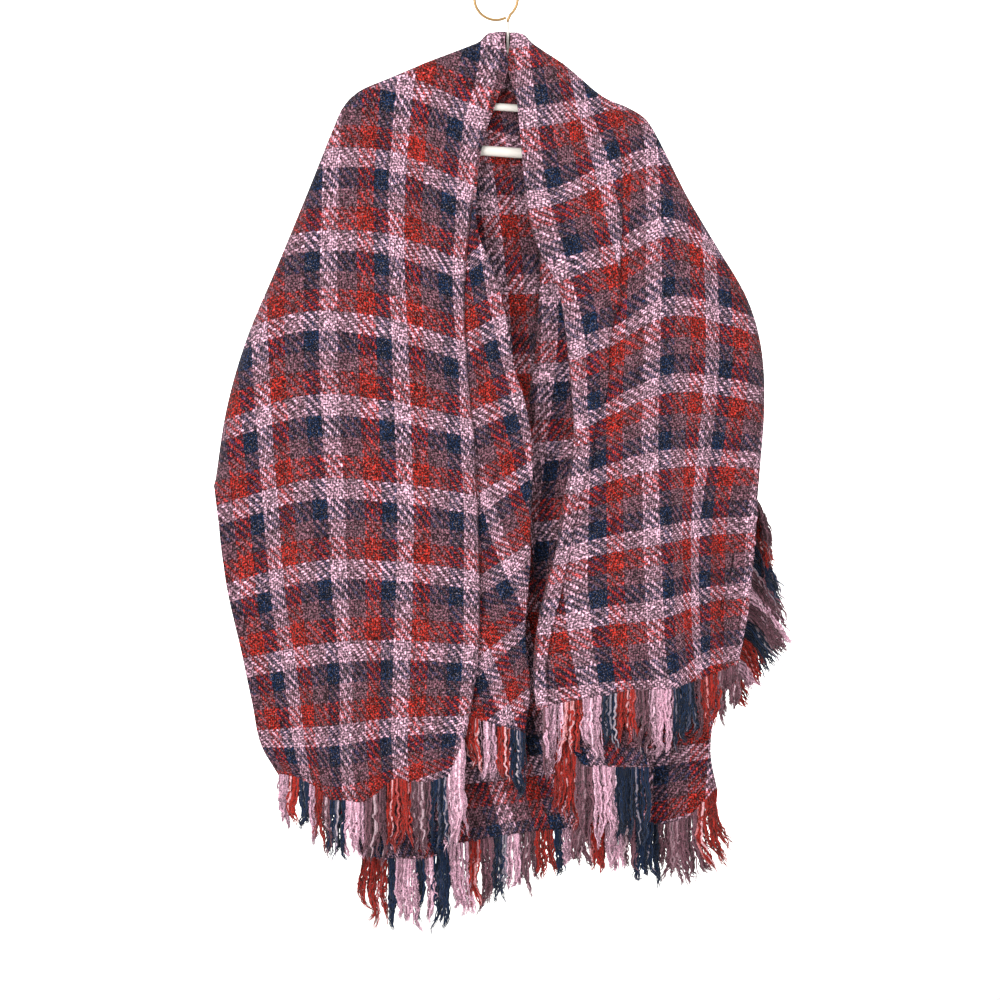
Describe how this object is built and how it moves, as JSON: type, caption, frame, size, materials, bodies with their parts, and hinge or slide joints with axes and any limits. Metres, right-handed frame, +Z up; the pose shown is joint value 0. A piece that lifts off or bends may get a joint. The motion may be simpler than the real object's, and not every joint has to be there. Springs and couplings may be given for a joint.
{
  "type": "ruana on a tube hanger",
  "caption": "Handwoven check ruana in navy, red, pink and mauve twill, open in front and fringed at the hems, hung on a white plastic tube hanger with a wire hook.",
  "frame": {"origin": "inside top of the hanger's hook, where a rail carries it", "axes": "+Z up, -Y the way the garment's front faces, +X to the right as seen from the front"},
  "size_m": [0.7888, 0.0845, 1.3119],
  "materials": {
    "left_front": "matte",
    "right_front": "matte",
    "left_back": "matte",
    "right_back": "matte",
    "fringe_left_front": "matte",
    "fringe_left_inner": "matte",
    "fringe_right_front": "matte",
    "fringe_right_fold": "matte",
    "fringe_left_back": "matte",
    "fringe_right_back": "matte",
    "fringe_right_side": "matte",
    "hanger_frame": "gloss",
    "hanger_hook": "gloss"
  },
  "bodies": {
    "root": {"left_front": "left_front", "right_front": "right_front", "left_back": "left_back", "right_back": "right_back", "fringe_left_front": "fringe_left_front", "fringe_left_inner": "fringe_left_inner", "fringe_right_front": "fringe_right_front", "fringe_right_fold": "fringe_right_fold", "fringe_left_back": "fringe_left_back", "fringe_right_back": "fringe_right_back", "fringe_right_side": "fringe_right_side", "hanger_frame": "hanger_frame", "hanger_hook": "hanger_hook"}
  },
  "joints": []
}
